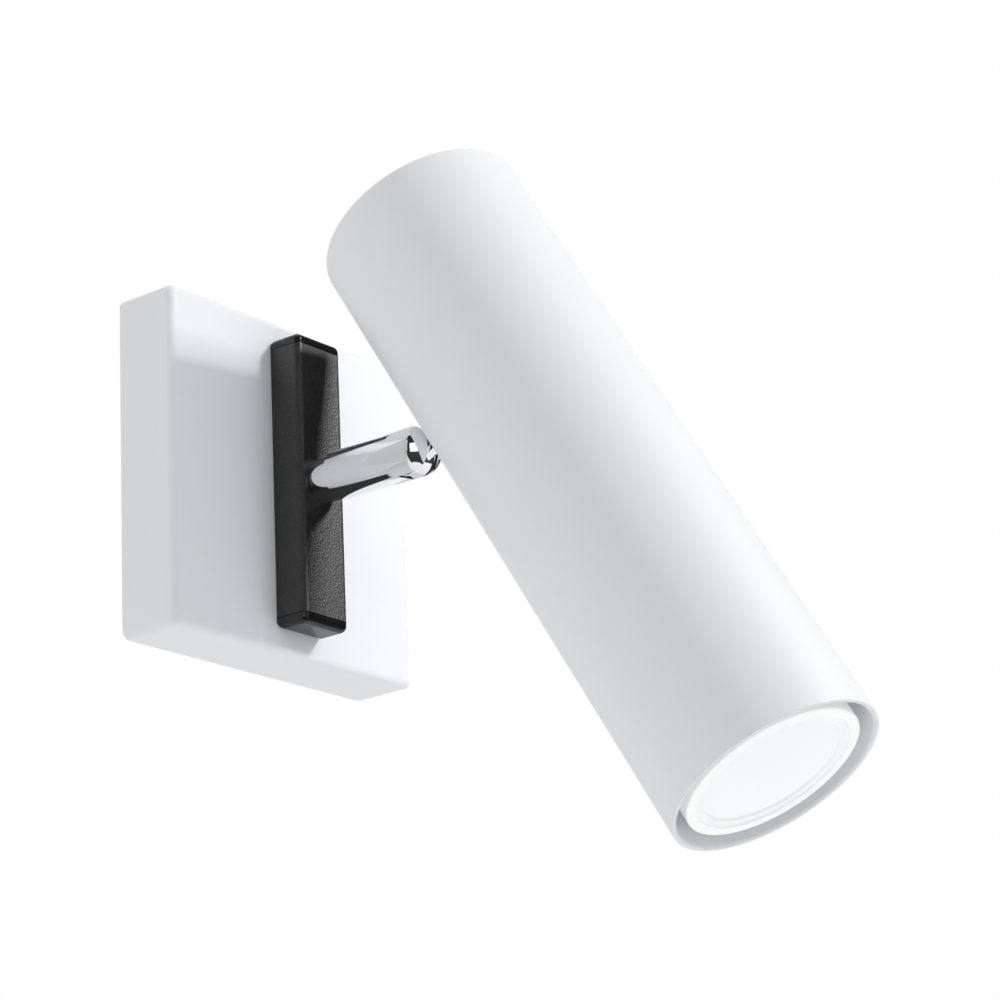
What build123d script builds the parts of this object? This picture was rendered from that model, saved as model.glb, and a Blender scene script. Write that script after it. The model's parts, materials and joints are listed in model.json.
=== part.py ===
from build123d import *
from math import sqrt
import os

# Pivoting spotlight wall light. Millimetres.
# Frame: the wall is the plane Y = 0, the lamp stands out towards -Y, +Z is up and +X is
# to the right for someone facing the wall. The origin is the middle of the wall plate's back.

os.makedirs("parts", exist_ok=True)

# ---------------------------------------------------------------- driving dimensions
# general fits
slack = 0.3             # between pieces that only have to go together
close_fit = 0.15        # round a shank or a plug, on the radius
running_fit = 0.05      # round a turning journal, on the radius
face_gap = 0.1          # between faces that slide on each other

# wall plate, a folded and painted steel box, open to the wall
plate_size = 100.0
plate_depth = 20.0
plate_wall = 1.5
plate_corner = 2.6      # upright corners
plate_edge = 2.2        # round the front face

# bracket screwed to the wall inside the plate
strap_sheet = 1.5
strap_width = 24.0
strap_tab = 15.0        # how far the two folded tabs stand off the wall
strap_bend = 1.0        # inside radius of the folds
wing_span = 84.0
wing_height = 22.0
wall_hole_spacing = 60.0
wall_slot_width = 4.6
wall_slot_length = 14.0
cable_hole_d = 22.0

# catch inside the lower edge of the plate
catch_sheet = 1.2
catch_width = 20.0
catch_lip = 5.0         # height of the lip above the catch's foot
catch_reach = 6.5       # how far the foot runs towards the wall
catch_at = 7.0          # lip to wall

# upright bar
bar_width = 18.4
bar_depth = 10.8
bar_inset = 6.6         # plate's edge to the bar's end
bar_wall = 1.5
bar_edge = 1.7          # front upright corners
bar_back_edge = 0.4
bar_screw_spacing = 52.0
cap_seam = 0.2          # shadow line between cap and bar
cap_height = 3.2
cap_corner = 2.0
cap_plug = 6.0

# hollow post that carries the arm
stem_d = 9.8
stem_tail = 5.6         # thread left behind the plate's front wall, washer and nut included
post_bore = 5.6
collar_d = 13.0
collar_height = 6.5     # plain collar seen between bar and arm
collar_edge = 0.3
spigot_d = 9.0
spigot_length = 13.8
groove_from_shoulder = 8.4
groove_width = 2.2
groove_depth = 0.8
groove_turn = 350.0     # the lug that is left stops the swivel
washer_d = 18.0
washer_sheet = 1.0
washer_teeth = 12
washer_notch = 1.4
post_nut_flats = 14.0
post_nut_height = 3.0

# arm
arm_d = 14.4
arm_length = 35.2       # from the collar's shoulder to the tip
arm_tip_round = 6.0
arm_root_round = 0.4
pivot_inset = 8.5       # tip to pivot
slot_width = 6.0
pivot_d = 4.0
pivot_tip_d = 3.2
pivot_head_d = 7.0
pivot_head_height = 2.2

# knuckle that turns in the arm's slot
disc_thickness = 5.0
friction_sheet = 0.4
friction_d = 11.6
neck_stud_d = 5.0
stud_offset = 3.5       # the stud sits this far towards the mouth from the pivot
stud_thread_d = 4.0
stud_bore = 2.0

# lamp tube
tube_d = 60.0
tube_wall = 1.5
tube_length = 200.0
tube_back = 50.4        # pivot's foot on the tube's axis to the rear end
tube_gap = 10.45        # pivot to the tube's skin
tube_edge = 0.5
mouth_edge = 0.3
bore_edge = 0.8         # round inside the mouth

# rear cap
cap_recess = 1.2
rear_cap_sheet = 1.5
rear_skirt = 8.0
vent_count = 8
vent_width = 3.2
vent_length = 11.0
vent_radius = 16.0

# inner saddle, nut and holder bracket
saddle_width = 14.0
saddle_length = 16.0
saddle_depth = 3.6
nut_flats = 7.0
nut_height = 3.2
holder_sheet = 1.2
holder_strap = 14.0
holder_strap_back = 6.5
holder_bend = 1.5
holder_d = 25.0
holder_height = 17.0
holder_screw_spacing = 16.0
key_depth = 9.0         # keyholes for the lamp's pins
key_turn = 42.0         # their length, degrees about the axis

# lamp, two pin twist base
lamp_recess = 1.3       # mouth to the lamp's front rim
lamp_d = 50.2
lamp_height = 47.0      # front rim to base
lamp_base_d = 19.0
lamp_base_height = 8.0
lamp_rim_width = 3.1
lamp_rim_height = 5.6
lamp_rim_edge = 0.4
lens_step = 0.6         # lens edge below the rim
lens_border = 2.4       # flat ring round the lens's dome
lens_rise = 1.5
waist_out = 8.5         # swell of the lamp's body above its base, and how far up it is
waist_up = 14.0
pin_spacing = 10.0
pin_d = 3.0
pin_head_d = 5.0
pin_head_height = 2.6
pin_length = 6.5

# terminals and leads
block_length = 30.0
block_height = 16.0
block_depth = 13.0
block_lift = 4.3        # bottom of the block above the catch's lip
block_pitch = 10.0
well_d = 3.8            # well of a clamping screw
lead_d = 1.8
head_lead_d = 0.9

# screws
m4_shank = 3.9
m4_head_d = 7.6
m4_head_height = 2.6
m3_shank = 2.8
m3_head_d = 5.4
m3_head_height = 2.0
drive_d = 2.5           # socket in a screw head
drive_depth = 1.4

# photographed pose
rest_swivel = -4.7      # arm turned about its own axis, degrees
rest_tilt = 28.7        # tube's lean out from the upright, degrees

# ---------------------------------------------------------------- derived places
cavity = plate_size / 2 - plate_wall
plate_face = -plate_depth
plate_inner = -(plate_depth - plate_wall)
block_drop = cavity - catch_sheet - catch_lip - block_lift - block_height / 2
bar_face = plate_face - bar_depth
bar_middle = plate_face - bar_depth / 2
bar_end = plate_size / 2 - bar_inset - cap_height
arm_root = bar_face - collar_height
arm_tip = arm_root - arm_length
pivot_y = arm_tip + pivot_inset
disc_r = arm_d / 2 - slack
stem_end = plate_inner + stem_tail
tube_r = tube_d / 2
tube_bore = tube_r - tube_wall
axis_reach = tube_gap + tube_r
mouth = tube_length - tube_back
lamp_front = mouth - lamp_recess
lamp_base = lamp_front - lamp_height
holder_front = lamp_base - slack
holder_back = holder_front - holder_height
saddle_face = tube_bore - face_gap - saddle_depth
strap_face = saddle_face - holder_sheet
stud_end = axis_reach - strap_face + nut_height + 0.8

# directions of the arm and of the tube in the photographed pose
side = Vector(1, 0, 0).rotate(Axis.Y, rest_swivel)
beam = Vector(0, 0, -1).rotate(Axis.X, -rest_tilt).rotate(Axis.Y, rest_swivel)
outward = beam.cross(side)
pivot = Vector(0, pivot_y, 0)
foot = pivot + outward * axis_reach

wall = Plane.XZ                                                 # faces away from the wall
arm_side = Plane(origin=pivot, x_dir=(0, -1, 0), z_dir=side)    # local x runs along the arm
tube_plane = Plane(origin=foot, x_dir=side, z_dir=beam)         # local y points away from the wall
head_side = Plane(origin=foot, x_dir=beam, z_dir=side)          # local x runs to the mouth
stud_plane = Plane(origin=pivot + beam * stud_offset, x_dir=side, z_dir=outward)


def save(piece, name):
    """Label a finished piece and write it."""
    piece.part.label = name
    export_step(piece.part, f"parts/{name}.step")


def screw(base, shank_d, shank_length, head_d, head_height):
    """Pan head screw: the head stands on base, the shank runs back from it."""
    with BuildPart() as body:
        with BuildSketch(base):
            Circle(head_d / 2)
        extrude(amount=head_height)
        fillet(body.faces().sort_by(Axis(base.origin, base.z_dir))[-1].edges(), head_height * 0.4)
        with BuildSketch(base.offset(head_height)):
            RegularPolygon(drive_d / 2, 6)
        extrude(amount=-drive_depth, mode=Mode.SUBTRACT)
        with BuildSketch(base):
            Circle(shank_d / 2)
        extrude(amount=-shank_length)
    return body.part


# ---------------------------------------------------------------- wall plate
with BuildPart() as canopy:
    with BuildSketch(wall):
        RectangleRounded(plate_size, plate_size, plate_corner)
    extrude(amount=plate_depth)
    fillet(canopy.faces().sort_by(Axis.Y)[0].edges(), plate_edge)
    with BuildSketch(wall):
        RectangleRounded(2 * cavity, 2 * cavity, plate_corner - plate_wall)
    extrude(amount=-plate_inner, mode=Mode.SUBTRACT)
    # post and the two screws of the bar
    with BuildSketch(wall.offset(plate_depth)):
        Circle(stem_d / 2 + slack)
        with GridLocations(1, bar_screw_spacing, 1, 2):
            Circle(m4_shank / 2 + slack)
    extrude(amount=-plate_wall, mode=Mode.SUBTRACT)
    # fixing screw through the upper edge
    with BuildSketch(Plane.XY.offset(plate_size / 2)):
        with Locations((0, -strap_tab / 2)):
            Circle(m4_shank / 2 + slack)
    extrude(amount=-plate_wall, mode=Mode.SUBTRACT)
save(canopy, "canopy")

# folded catch, spot welded inside the lower edge
with BuildPart() as canopy_catch:
    with BuildSketch(Plane.YZ):
        with Locations((-catch_at, -cavity)):
            Rectangle(catch_reach, catch_sheet, align=(Align.MIN, Align.MIN))
            Rectangle(catch_sheet, catch_sheet + catch_lip, align=(Align.MIN, Align.MIN))
    extrude(amount=catch_width / 2, both=True)
    fillet(canopy_catch.edges().filter_by(Axis.X).group_by(Axis.Z)[0].sort_by(Axis.Y)[0],
           catch_sheet * 0.8)
    fillet(canopy_catch.edges().filter_by(Axis.Y).group_by(Axis.Z)[-1], catch_sheet)
save(canopy_catch, "canopy_catch")

# ---------------------------------------------------------------- wall bracket
strap_top = cavity - slack
strap_bottom = -(cavity - catch_sheet - slack)
with BuildPart() as wall_bracket:
    # strap folded into a shallow U
    with BuildSketch(Plane.YZ):
        with BuildLine():
            Polyline((0, strap_bottom), (0, strap_top), (-strap_tab, strap_top),
                     (-strap_tab, strap_top - strap_sheet), (-strap_sheet, strap_top - strap_sheet),
                     (-strap_sheet, strap_bottom + strap_sheet),
                     (-strap_tab, strap_bottom + strap_sheet), (-strap_tab, strap_bottom),
                     close=True)
        make_face()
    extrude(amount=strap_width / 2, both=True)
    folds = wall_bracket.edges().filter_by(Axis.X)
    fillet(folds.group_by(Axis.Y)[-1], strap_bend + strap_sheet)
    fillet(wall_bracket.edges().filter_by(Axis.X).filter_by_position(
        Axis.Y, -strap_sheet - 0.01, -strap_sheet + 0.01), strap_bend)
    fillet(wall_bracket.edges().filter_by(Axis.Z).group_by(Axis.Y)[0], strap_sheet)
    # wings with the slotted wall holes
    with BuildSketch(wall):
        RectangleRounded(wing_span, wing_height, 3)
    extrude(amount=strap_sheet)
    fillet(wall_bracket.edges().filter_by(Axis.Y).filter_by_position(
        Axis.X, -strap_width / 2 - 0.01, strap_width / 2 + 0.01).filter_by_position(
        Axis.Z, -wing_height / 2 - 0.01, wing_height / 2 + 0.01), 2)
    with BuildSketch(wall):
        Circle(cable_hole_d / 2)
        with GridLocations(wall_hole_spacing, 1, 2, 1):
            SlotOverall(wall_slot_length, wall_slot_width)
        with Locations((0, strap_top / 2)):
            Circle(m4_shank / 2 + close_fit)
        with Locations((0, -block_drop)):
            with GridLocations(block_pitch, 1, 2, 1):
                Circle(m3_shank / 2 + close_fit)
    extrude(amount=strap_sheet, mode=Mode.SUBTRACT)
    # thread hole in the upper tab, window for the catch's lip in the lower one
    with BuildSketch(Plane.XY.offset(strap_top)):
        with Locations((0, -strap_tab / 2)):
            Circle(m4_shank / 2 + close_fit)
    extrude(amount=-strap_sheet, mode=Mode.SUBTRACT)
    with BuildSketch(Plane.XY.offset(strap_bottom)):
        with Locations((0, -catch_at + catch_sheet / 2)):
            Rectangle(catch_width + 2 * slack, catch_sheet + 2 * slack)
    extrude(amount=strap_sheet, mode=Mode.SUBTRACT)
save(wall_bracket, "wall_bracket")

# nut riveted under the upper tab, and the screw that holds the plate
tab_under = strap_top - strap_sheet
with BuildPart() as tab_nut:
    with BuildSketch(Plane.XY.offset(tab_under)):
        with Locations((0, -strap_tab / 2)):
            RegularPolygon(nut_flats / 2, 6, major_radius=False)
            Circle(m4_shank / 2 + close_fit, mode=Mode.SUBTRACT)
    extrude(amount=-nut_height)
save(tab_nut, "tab_nut")

with BuildPart() as canopy_screw:
    add(screw(Plane.XY.offset(plate_size / 2).move(Location((0, -strap_tab / 2, 0))),
              m4_shank, plate_wall + slack + strap_sheet + nut_height + 0.6,
              m4_head_d, m4_head_height))
save(canopy_screw, "canopy_screw")

# earth screw and its ring terminal on the strap
earth_z = strap_top / 2
lug_sheet = 0.8
lug_r = 4.2
with BuildPart() as earth_lug:
    with BuildSketch(wall.offset(strap_sheet)):
        with Locations((0, earth_z)):
            Circle(lug_r)
        with Locations((-lug_r, earth_z)):
            Rectangle(2 * lug_r, lead_d + 2)
        with Locations((0, earth_z)):
            Circle(m4_shank / 2 + close_fit, mode=Mode.SUBTRACT)
    extrude(amount=lug_sheet)
    with BuildSketch(Plane.YZ.offset(-lug_r - 0.5)):
        with Locations((-strap_sheet - lead_d / 2 - 1, earth_z)):
            Circle(lead_d / 2 + 1)
    extrude(amount=-5)
    with BuildSketch(Plane.YZ.offset(-lug_r - 5.5)):
        with Locations((-strap_sheet - lead_d / 2 - 1, earth_z)):
            Circle(lead_d / 2 + close_fit)
    extrude(amount=4, mode=Mode.SUBTRACT)
save(earth_lug, "earth_lug")

with BuildPart() as earth_screw:
    add(screw(Plane(origin=(0, -strap_sheet - lug_sheet, earth_z), z_dir=(0, -1, 0)),
              m4_shank, lug_sheet + strap_sheet - face_gap, m4_head_d, m4_head_height))
save(earth_screw, "earth_screw")

# ---------------------------------------------------------------- terminal block
block_top = -block_drop + block_height / 2
block_middle = -(strap_sheet + block_depth / 2)
with BuildPart() as terminal_block:
    with BuildSketch(wall.offset(strap_sheet)):
        with Locations((0, -block_drop)):
            Rectangle(block_length, block_height)
    extrude(amount=block_depth * 0.55)
    with BuildSketch(wall.offset(strap_sheet)):
        with Locations((0, -block_drop)):
            with GridLocations(block_pitch, 1, 3, 1):
                Rectangle(block_pitch * 0.74, block_height)
    extrude(amount=block_depth)
    fillet(terminal_block.edges().filter_by(Axis.Z).group_by(Axis.Y)[0], 0.6)
    # a port for the lead above and below, and a well for each clamping screw
    with BuildSketch(Plane.XY.offset(block_top)):
        with Locations((0, block_middle)):
            with GridLocations(block_pitch, 1, 3, 1):
                Circle(lead_d / 2 + slack)
    extrude(amount=-block_height, mode=Mode.SUBTRACT)
    with BuildSketch(wall.offset(strap_sheet + block_depth)):
        with Locations((0, -block_drop + block_height / 4)):
            with GridLocations(block_pitch, block_height / 2, 3, 1):
                Circle(well_d / 2)
        with Locations((0, -block_drop - block_height / 4)):
            with GridLocations(block_pitch, block_height / 2, 3, 1):
                Circle(well_d / 2)
    extrude(amount=-(block_depth / 2 - lead_d / 2 - 2 * slack), mode=Mode.SUBTRACT)
    # two fixing holes between the poles
    with BuildSketch(wall.offset(strap_sheet)):
        with Locations((0, -block_drop)):
            with GridLocations(block_pitch, 1, 2, 1):
                Circle(m3_shank / 2 + close_fit)
    extrude(amount=block_depth, mode=Mode.SUBTRACT)
    with BuildSketch(wall.offset(strap_sheet + block_depth * 0.55)):
        with Locations((0, -block_drop)):
            with GridLocations(block_pitch, 1, 2, 1):
                Circle(m3_head_d / 2 + close_fit)
    extrude(amount=block_depth, mode=Mode.SUBTRACT)
save(terminal_block, "terminal_block")

clamp_depth = block_depth / 2 - lead_d / 2 - 2 * slack
with BuildPart() as terminal_screws:
    with BuildSketch(wall.offset(strap_sheet + block_depth - clamp_depth)):
        with Locations((0, -block_drop + block_height / 4), (0, -block_drop - block_height / 4)):
            with GridLocations(block_pitch, 1, 3, 1):
                Circle(well_d / 2 - close_fit)
    extrude(amount=clamp_depth * 0.6)
    with BuildSketch(wall.offset(strap_sheet + block_depth - clamp_depth * 0.4)):
        with Locations((0, -block_drop + block_height / 4), (0, -block_drop - block_height / 4)):
            with GridLocations(block_pitch, 1, 3, 1):
                Rectangle(3, 0.7)
    extrude(amount=-0.8, mode=Mode.SUBTRACT)
save(terminal_screws, "terminal_screws")

with BuildPart() as terminal_fixings:
    for pole in (-block_pitch / 2, block_pitch / 2):
        add(screw(Plane(origin=(pole, -strap_sheet - block_depth * 0.55, -block_drop),
                        z_dir=(0, -1, 0)),
                  m3_shank, block_depth * 0.55 + strap_sheet - face_gap,
                  m3_head_d, m3_head_height))
save(terminal_fixings, "terminal_fixings")

# ---------------------------------------------------------------- upright bar
with BuildPart() as bar_body:
    with BuildSketch(Plane.XY.offset(-bar_end)) as bar_outline:
        with Locations((0, bar_middle)):
            Rectangle(bar_width, bar_depth)
        fillet(bar_outline.vertices().group_by(Axis.Y)[0], bar_edge)
        fillet(bar_outline.vertices().group_by(Axis.Y)[-1], bar_back_edge)
        with Locations((0, bar_middle)):
            RectangleRounded(bar_width - 2 * bar_wall, bar_depth - 2 * bar_wall,
                             bar_edge / 4, mode=Mode.SUBTRACT)
    extrude(amount=2 * bar_end)
    with BuildSketch(wall.offset(-bar_face)):
        Circle(stem_d / 2 + slack)
    extrude(amount=-bar_depth, mode=Mode.SUBTRACT)
    with BuildSketch(wall.offset(plate_depth)):
        with GridLocations(1, bar_screw_spacing, 1, 2):
            Circle(m4_shank / 2 + close_fit)
    extrude(amount=bar_wall, mode=Mode.SUBTRACT)
save(bar_body, "bar_body")

# moulded end caps, pushed into the profile
for way, cap_name in ((1, "bar_cap_top"), (-1, "bar_cap_bottom")):
    with BuildPart() as bar_cap:
        with BuildSketch(Plane.XY.offset(way * (bar_end + cap_seam))) as cap_outline:
            with Locations((0, bar_middle)):
                Rectangle(bar_width, bar_depth)
            fillet(cap_outline.vertices().group_by(Axis.Y)[0], bar_edge)
            fillet(cap_outline.vertices().group_by(Axis.Y)[-1], bar_back_edge)
        extrude(amount=way * (cap_height - cap_seam))
        end_edges = bar_cap.edges().filter_by(Axis.Y).group_by(Axis.Z)
        fillet(end_edges[-1 if way > 0 else 0], cap_corner)
        # shoulder on the profile's end, set in to leave a thin shadow line
        with BuildSketch(Plane.XY.offset(way * bar_end)):
            with Locations((0, bar_middle)):
                Rectangle(bar_width - bar_wall, bar_depth - bar_wall)
        extrude(amount=way * cap_seam)
        with BuildSketch(Plane.XY.offset(way * bar_end)):
            with Locations((0, bar_middle)):
                Rectangle(bar_width - 2 * bar_wall - 2 * close_fit,
                          bar_depth - 2 * bar_wall - 2 * close_fit)
                Rectangle(bar_width - 4 * bar_wall, bar_depth - 4 * bar_wall, mode=Mode.SUBTRACT)
        extrude(amount=-way * cap_plug)
    save(bar_cap, cap_name)

# screws from inside the plate into the bar's back wall
with BuildPart() as bar_screws:
    for height in (-bar_screw_spacing / 2, bar_screw_spacing / 2):
        add(screw(Plane(origin=(0, plate_inner, height), z_dir=(0, 1, 0)),
                  m4_shank, plate_wall + bar_wall + 2.5, m4_head_d, m4_head_height))
save(bar_screws, "bar_screws")

# sleeve that keeps the bar from crushing where the post is drawn up
with BuildPart() as bar_spacer:
    with BuildSketch(wall.offset(plate_depth + bar_wall)):
        Circle(stem_d / 2 + slack + 1.5)
        Circle(stem_d / 2 + slack, mode=Mode.SUBTRACT)
    extrude(amount=bar_depth - 2 * bar_wall)
save(bar_spacer, "bar_spacer")

# ---------------------------------------------------------------- swivel post
shoulder = arm_root + face_gap
groove_y = shoulder - groove_from_shoulder
with BuildPart() as swivel_post:
    with BuildSketch(Plane.XY) as post_profile:
        with BuildLine():
            Polyline((post_bore / 2, stem_end), (stem_d / 2, stem_end), (stem_d / 2, bar_face),
                     (collar_d / 2, bar_face), (collar_d / 2, shoulder), (spigot_d / 2, shoulder),
                     (spigot_d / 2, shoulder - spigot_length),
                     (post_bore / 2, shoulder - spigot_length), close=True)
        make_face()
        fillet(post_profile.vertices().group_by(Axis.X)[-1], collar_edge)
        chamfer(post_profile.vertices().group_by(Axis.Y)[-1].sort_by(Axis.X)[-1], 0.6)
        chamfer(post_profile.vertices().group_by(Axis.Y)[0].sort_by(Axis.X)[-1], 0.6)
    revolve(axis=Axis.Y)
    # stop groove, not quite all the way round: the lug stands below the axis
    with BuildSketch(Plane.XY.rotated((0, 90 + (360 - groove_turn) / 2, 0))):
        with Locations((spigot_d / 2, groove_y)):
            Rectangle(2 * groove_depth, groove_width)
    revolve(axis=Axis.Y, revolution_arc=groove_turn, mode=Mode.SUBTRACT)
save(swivel_post, "swivel_post")

with BuildPart() as post_washer:
    with BuildSketch(wall.offset(-plate_inner)):
        Circle(washer_d / 2)
        Circle(stem_d / 2 + close_fit, mode=Mode.SUBTRACT)
        with PolarLocations(washer_d / 2, washer_teeth):
            Rectangle(washer_notch, washer_notch, mode=Mode.SUBTRACT)
    extrude(amount=-washer_sheet)
save(post_washer, "post_washer")

with BuildPart() as post_nut:
    with BuildSketch(wall.offset(-plate_inner - washer_sheet)):
        RegularPolygon(post_nut_flats / 2, 6, major_radius=False)
    extrude(amount=-post_nut_height)
    chamfer(post_nut.faces().sort_by(Axis.Y)[-1].edges(), 0.5)
    with BuildSketch(wall.offset(-plate_inner - washer_sheet)):
        Circle(stem_d / 2 + close_fit)
    extrude(amount=-post_nut_height, mode=Mode.SUBTRACT)
save(post_nut, "post_nut")

# ---------------------------------------------------------------- arm
wire_bore = post_bore + 0.4
with BuildPart() as arm_barrel:
    with BuildSketch(Plane.XY) as barrel_profile:
        with BuildLine():
            Polyline((0, shoulder - spigot_length - slack), (spigot_d / 2 + running_fit,
                     shoulder - spigot_length - slack), (spigot_d / 2 + running_fit, arm_root),
                     (arm_d / 2, arm_root), (arm_d / 2, arm_tip), (0, arm_tip), close=True)
        make_face()
        outer = barrel_profile.vertices().group_by(Axis.X)[-1].sort_by(Axis.Y)
        fillet(outer[0], arm_tip_round)
        fillet(outer[-1], arm_root_round)
    revolve(axis=Axis.Y)
    # slot for the knuckle, with a round floor
    with BuildSketch(arm_side):
        Circle(disc_r + slack + face_gap)
        Rectangle(arm_d, arm_d + 2, align=(Align.MIN, Align.CENTER))
    extrude(amount=slot_width / 2, both=True, mode=Mode.SUBTRACT)
    # way for the leads from the post to the slot
    with BuildSketch(wall.offset(-arm_root + spigot_length)):
        Circle(wire_bore / 2)
    extrude(amount=arm_root - pivot_y - spigot_length - disc_r, mode=Mode.SUBTRACT)
    # pivot screw: counterbore, clear hole, blind thread hole
    with BuildSketch(arm_side):
        Circle(pivot_d / 2 + running_fit)
    extrude(amount=arm_d, mode=Mode.SUBTRACT)
    with BuildSketch(arm_side.offset(arm_d / 2 - pivot_head_height - slack)):
        Circle(pivot_head_d / 2 + close_fit)
    extrude(amount=arm_d, mode=Mode.SUBTRACT)
    with BuildSketch(arm_side):
        Circle(pivot_tip_d / 2 + close_fit)
    extrude(amount=-(arm_d / 2 - 1.2), mode=Mode.SUBTRACT)
    # radial thread hole for the stop screw
    with BuildSketch(Plane(origin=(0, groove_y, 0), x_dir=side, z_dir=side.cross(Vector(0, 1, 0)))):
        Circle(1.5 + close_fit)
    extrude(amount=arm_d, mode=Mode.SUBTRACT)
save(arm_barrel, "arm_barrel")

# stop screw: its tip runs in the post's groove
stop_way = Plane(origin=(0, groove_y, 0), x_dir=side, z_dir=side.cross(Vector(0, 1, 0)))
stop_seat = spigot_d / 2 + slack
with BuildPart() as stop_screw:
    with BuildSketch(stop_way.offset(stop_seat)):
        Circle(1.5)
    extrude(amount=arm_d / 2 - stop_seat - 0.4)
    with BuildSketch(stop_way.offset(spigot_d / 2 - groove_depth + 0.2)):
        Circle(0.8)
    extrude(amount=slack + groove_depth - 0.2)
    with BuildSketch(stop_way.offset(arm_d / 2 - 0.4)):
        RegularPolygon(0.75, 6)
    extrude(amount=-1, mode=Mode.SUBTRACT)
save(stop_screw, "stop_screw")

# pivot screw, put in from the right
with BuildPart() as pivot_screw:
    with BuildSketch(arm_side.offset(arm_d / 2 - pivot_head_height - slack)):
        Circle(pivot_head_d / 2)
    extrude(amount=pivot_head_height)
    chamfer(pivot_screw.edges().sort_by(Axis.X)[-1], 0.4)
    with BuildSketch(arm_side.offset(arm_d / 2 - slack)):
        RegularPolygon(drive_d / 2, 6)
    extrude(amount=-drive_depth, mode=Mode.SUBTRACT)
    with BuildSketch(arm_side.offset(arm_d / 2 - pivot_head_height - slack)):
        Circle(pivot_d / 2)
    extrude(amount=-(arm_d / 2 - pivot_head_height - slack + slot_width / 2 - face_gap))
    with BuildSketch(arm_side.offset(-slot_width / 2 + face_gap)):
        Circle(pivot_tip_d / 2)
    extrude(amount=-(arm_d / 2 - slot_width / 2 - 1.6))
save(pivot_screw, "pivot_screw")

# plastic discs that give the joint its friction
with BuildPart() as friction_discs:
    for face in (-slot_width / 2, slot_width / 2 - friction_sheet):
        with BuildSketch(arm_side.offset(face)):
            Circle(friction_d / 2)
            Circle(pivot_d / 2 + close_fit, mode=Mode.SUBTRACT)
        extrude(amount=friction_sheet)
save(friction_discs, "friction_discs")

# ---------------------------------------------------------------- knuckle
with BuildPart() as knuckle:
    with BuildSketch(arm_side):
        Circle(disc_r)
    extrude(amount=disc_thickness / 2, both=True)
    fillet(knuckle.edges(), 0.4)
    with BuildSketch(stud_plane):
        Circle(neck_stud_d / 2)
    extrude(amount=tube_gap - face_gap)
    with BuildSketch(stud_plane):
        Circle(stud_thread_d / 2)
    extrude(amount=stud_end)
    chamfer(knuckle.edges().sort_by(Axis(foot, outward))[-1], 0.4)
    with BuildSketch(stud_plane.offset(-disc_r)):
        Circle(stud_bore / 2)
    extrude(amount=disc_r + stud_end, mode=Mode.SUBTRACT)
    with BuildSketch(arm_side):
        Circle(pivot_d / 2 + running_fit)
    extrude(amount=disc_thickness, both=True, mode=Mode.SUBTRACT)
save(knuckle, "knuckle")

# ---------------------------------------------------------------- lamp tube
with BuildPart() as lamp_tube:
    with BuildSketch(tube_plane.offset(-tube_back)):
        Circle(tube_r)
        Circle(tube_bore, mode=Mode.SUBTRACT)
    extrude(amount=tube_length)
    rings = lamp_tube.edges().filter_by(GeomType.CIRCLE).sort_by(Axis(foot, beam))
    fillet(rings[0:2].sort_by(SortBy.LENGTH)[-1], tube_edge)
    rings = lamp_tube.edges().filter_by(GeomType.CIRCLE).sort_by(Axis(foot, beam))
    fillet(rings[-2:].sort_by(SortBy.LENGTH)[-1], mouth_edge)
    rings = lamp_tube.edges().filter_by(GeomType.CIRCLE).sort_by(Axis(foot, beam))
    fillet(rings[-2:].sort_by(SortBy.LENGTH)[0], bore_edge)
    with BuildSketch(stud_plane):
        Circle(stud_thread_d / 2 + close_fit)
    extrude(amount=axis_reach, mode=Mode.SUBTRACT)
save(lamp_tube, "lamp_tube")

# rear cap with vents, set into the tube
rear_face = -tube_back + cap_recess
with BuildPart() as rear_cap:
    with BuildSketch(tube_plane.offset(rear_face)):
        Circle(tube_bore - close_fit)
    extrude(amount=rear_skirt)
    with BuildSketch(tube_plane.offset(rear_face + rear_cap_sheet)):
        Circle(tube_bore - close_fit - rear_cap_sheet)
    extrude(amount=rear_skirt, mode=Mode.SUBTRACT)
    with BuildSketch(tube_plane.offset(rear_face)):
        with PolarLocations(vent_radius, vent_count):
            SlotOverall(vent_length, vent_width)
    extrude(amount=rear_cap_sheet, mode=Mode.SUBTRACT)
save(rear_cap, "rear_cap")

# saddle that spreads the stud's pull on the inside of the tube
with BuildPart() as clamp_saddle:
    with BuildSketch(tube_plane.offset(stud_offset - saddle_length / 2)):
        Circle(tube_bore - face_gap)
        with Locations((0, -saddle_face)):
            Rectangle(saddle_width, tube_r, align=(Align.CENTER, Align.MAX), mode=Mode.INTERSECT)
    extrude(amount=saddle_length)
    with BuildSketch(stud_plane):
        Circle(stud_thread_d / 2 + close_fit)
    extrude(amount=axis_reach, mode=Mode.SUBTRACT)
save(clamp_saddle, "clamp_saddle")

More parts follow.
